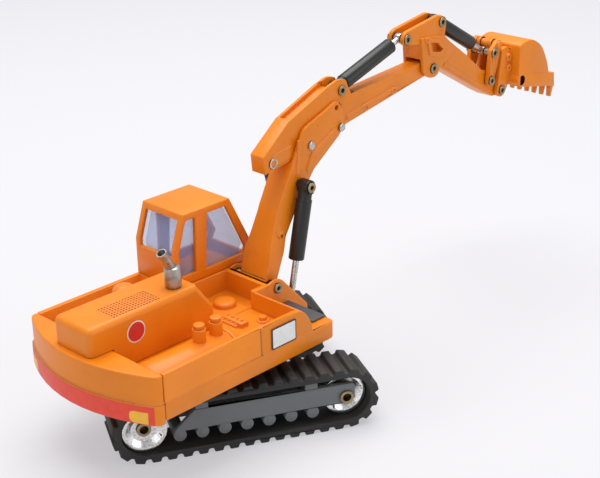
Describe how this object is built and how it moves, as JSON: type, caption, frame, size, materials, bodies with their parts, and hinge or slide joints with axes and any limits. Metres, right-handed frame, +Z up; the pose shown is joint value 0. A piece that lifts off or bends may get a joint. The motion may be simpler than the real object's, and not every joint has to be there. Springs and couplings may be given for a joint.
{
  "type": "toy excavator",
  "caption": "Die-cast toy crawler excavator with slewing superstructure, two-piece boom, stick, tooth-edged bucket, working cylinders and rubber track belts.",
  "frame": {"origin": "centre of the bounding box's base, on the surface the tracks stand on", "axes": "+X along the superstructure and arm, from counterweight to bucket; +Y to the operator's left; +Z up"},
  "size_m": [0.1934, 0.0798, 0.0923],
  "materials": {
    "orange_paint": "gloss enamel on die-cast zinc",
    "grey_paint": "satin grey enamel on die-cast zinc",
    "track_rubber": "matt moulded rubber",
    "bright_alloy": "turned, bright",
    "brass": "rolled hollow rivet, dull",
    "bright_steel": "drawn wire and plated bolts",
    "black_lacquer": "satin black lacquer",
    "dark_plate": "matt, fine anti-slip grain",
    "pewter": "rough cast, unpainted",
    "tinted_glazing": "clear plastic with a blue tint"
  },
  "bodies": {
    "undercarriage": {"carbody": "grey_paint", "track_frame_left": "grey_paint", "track_frame_right": "grey_paint", "track_belt_left": "track_rubber", "track_belt_right": "track_rubber", "rear_axle_left": "brass", "rear_axle_right": "brass", "front_axle_left": "brass", "front_axle_right": "brass"},
    "rear_wheel_left": {"rear_wheel_left": "bright_alloy"},
    "rear_wheel_right": {"rear_wheel_right": "bright_alloy"},
    "front_wheel_left": {"front_wheel_left": "bright_alloy"},
    "front_wheel_right": {"front_wheel_right": "bright_alloy"},
    "superstructure": {"deck": "orange_paint", "slew_rivet": "bright_steel", "counterweight": "orange_paint", "engine_hood": "orange_paint", "engine_bay_casting": "orange_paint", "exhaust": "pewter", "cab_shell": "orange_paint", "cab_glazing": "tinted_glazing", "step_plate": "dark_plate", "boom_foot_rivet": "brass"},
    "boom": {"lower_boom": "orange_paint", "upper_boom": "orange_paint", "rear_boom_bolt": "bright_steel", "front_boom_bolt": "bright_steel", "boom_cylinder_rivet": "brass", "stick_cylinder_rivet": "brass", "tail_eyelet": "bright_steel", "stick_pivot_rivet": "brass"},
    "boom_barrel_left": {"boom_cylinder_left": "black_lacquer"},
    "boom_barrel_right": {"boom_cylinder_right": "black_lacquer"},
    "boom_rod_left": {"boom_rod_left": "bright_steel"},
    "boom_rod_right": {"boom_rod_right": "bright_steel"},
    "stick": {"stick": "orange_paint", "bucket_cylinder_rivet": "brass", "rocker_rivet": "brass", "bucket_pivot_rivet": "brass", "stick_rod_rivet_left": "brass", "stick_rod_rivet_right": "brass"},
    "stick_barrel": {"stick_cylinder": "black_lacquer"},
    "stick_rod": {"stick_rod": "bright_steel"},
    "bucket_barrel": {"bucket_cylinder": "black_lacquer"},
    "bucket_rod": {"bucket_rod": "bright_steel"},
    "rocker": {"rocker": "orange_paint", "bucket_rod_rivet_left": "brass", "bucket_rod_rivet_right": "brass"},
    "bucket_link": {"bucket_link": "orange_paint"},
    "bucket": {"bucket": "orange_paint"}
  },
  "joints": [
    {"name": "slew", "type": "hinge", "parent": "undercarriage", "child": "superstructure", "pos_m": [-0.04575, 0, 0.02], "axis": [0, 0, 1], "continuous": true},
    {"name": "rear_wheel_left_spin", "type": "hinge", "parent": "undercarriage", "child": "rear_wheel_left", "pos_m": [-0.06002, 0.03051, 0.0088], "axis": [0.4772, 0.8788, 0], "continuous": true},
    {"name": "rear_wheel_right_spin", "type": "hinge", "parent": "undercarriage", "child": "rear_wheel_right", "pos_m": [-0.07911, -0.00464, 0.0088], "axis": [0.4772, 0.8788, 0], "continuous": true},
    {"name": "front_wheel_left_spin", "type": "hinge", "parent": "undercarriage", "child": "front_wheel_left", "pos_m": [-0.01239, 0.00464, 0.0088], "axis": [0.4772, 0.8788, 0], "continuous": true},
    {"name": "front_wheel_right_spin", "type": "hinge", "parent": "undercarriage", "child": "front_wheel_right", "pos_m": [-0.03148, -0.03051, 0.0088], "axis": [0.4772, 0.8788, 0], "continuous": true},
    {"name": "boom_lift", "type": "hinge", "parent": "superstructure", "child": "boom", "pos_m": [-0.03215, 0, 0.0317], "axis": [0, 1, 0], "range_deg": [-15, 45]},
    {"name": "stick_swing", "type": "hinge", "parent": "boom", "child": "stick", "pos_m": [0.03895, 0, 0.0771], "axis": [0, 1, 0], "range_deg": [-3, 60]},
    {"name": "bucket_curl", "type": "hinge", "parent": "stick", "child": "bucket", "pos_m": [0.07265, 0, 0.063], "axis": [0, 1, 0], "range_deg": [-10, 55]},
    {"name": "boom_cylinder_left_pivot", "type": "hinge", "parent": "boom", "child": "boom_barrel_left", "pos_m": [-0.01845, 0.0062, 0.0569], "axis": [0, 1, 0], "range_deg": [-4.5, 1.8]},
    {"name": "boom_rod_left_slide", "type": "slide", "parent": "boom_barrel_left", "child": "boom_rod_left", "axis": [-0.2127, 0, -0.9771], "range_m": [-0.00717, 0.00259]},
    {"name": "boom_cylinder_right_pivot", "type": "hinge", "parent": "boom", "child": "boom_barrel_right", "pos_m": [-0.01845, -0.0062, 0.0569], "axis": [0, 1, 0], "range_deg": [-4.5, 1.8]},
    {"name": "boom_rod_right_slide", "type": "slide", "parent": "boom_barrel_right", "child": "boom_rod_right", "axis": [-0.2127, 0, -0.9771], "range_m": [-0.00717, 0.00259]},
    {"name": "stick_cylinder_pivot", "type": "hinge", "parent": "boom", "child": "stick_barrel", "pos_m": [0.00015, 0, 0.0789], "axis": [0, 1, 0], "range_deg": [-2, 0.5]},
    {"name": "stick_rod_slide", "type": "slide", "parent": "stick_barrel", "child": "stick_rod", "axis": [0.9514, 0, 0.3079], "range_m": [-0.00108, 0.01587]},
    {"name": "bucket_cylinder_pivot", "type": "hinge", "parent": "stick", "child": "bucket_barrel", "pos_m": [0.04365, 0, 0.09], "axis": [0, 1, 0], "range_deg": [-1.2, 0.5]},
    {"name": "bucket_rod_slide", "type": "slide", "parent": "bucket_barrel", "child": "bucket_rod", "axis": [0.8649, 0, -0.5019], "range_m": [-0.00166, 0.0078]},
    {"name": "rocker_pivot", "type": "hinge", "parent": "stick", "child": "rocker", "pos_m": [0.06705, 0, 0.0672], "axis": [0, 1, 0], "range_deg": [-9.6, 51.2]},
    {"name": "bucket_link_pivot", "type": "hinge", "parent": "rocker", "child": "bucket_link", "pos_m": [0.07025, 0, 0.078], "axis": [0, 1, 0], "range_deg": [-51.9, 9.8]}
  ],
  "couplings": [
    {"joint": "boom_cylinder_left_pivot", "follows": "boom_lift", "ratio": -0.0903},
    {"joint": "boom_rod_left_slide", "follows": "boom_lift", "m_per_rad": -0.008743},
    {"joint": "boom_cylinder_right_pivot", "follows": "boom_lift", "ratio": -0.0903},
    {"joint": "boom_rod_right_slide", "follows": "boom_lift", "m_per_rad": -0.008743},
    {"joint": "stick_cylinder_pivot", "follows": "stick_swing", "ratio": -0.0272},
    {"joint": "stick_rod_slide", "follows": "stick_swing", "m_per_rad": 0.014872},
    {"joint": "bucket_cylinder_pivot", "follows": "bucket_curl", "ratio": -0.0148},
    {"joint": "bucket_rod_slide", "follows": "bucket_curl", "m_per_rad": 0.007808},
    {"joint": "rocker_pivot", "follows": "bucket_curl", "ratio": 0.9235},
    {"joint": "bucket_link_pivot", "follows": "bucket_curl", "ratio": -0.936}
  ]
}
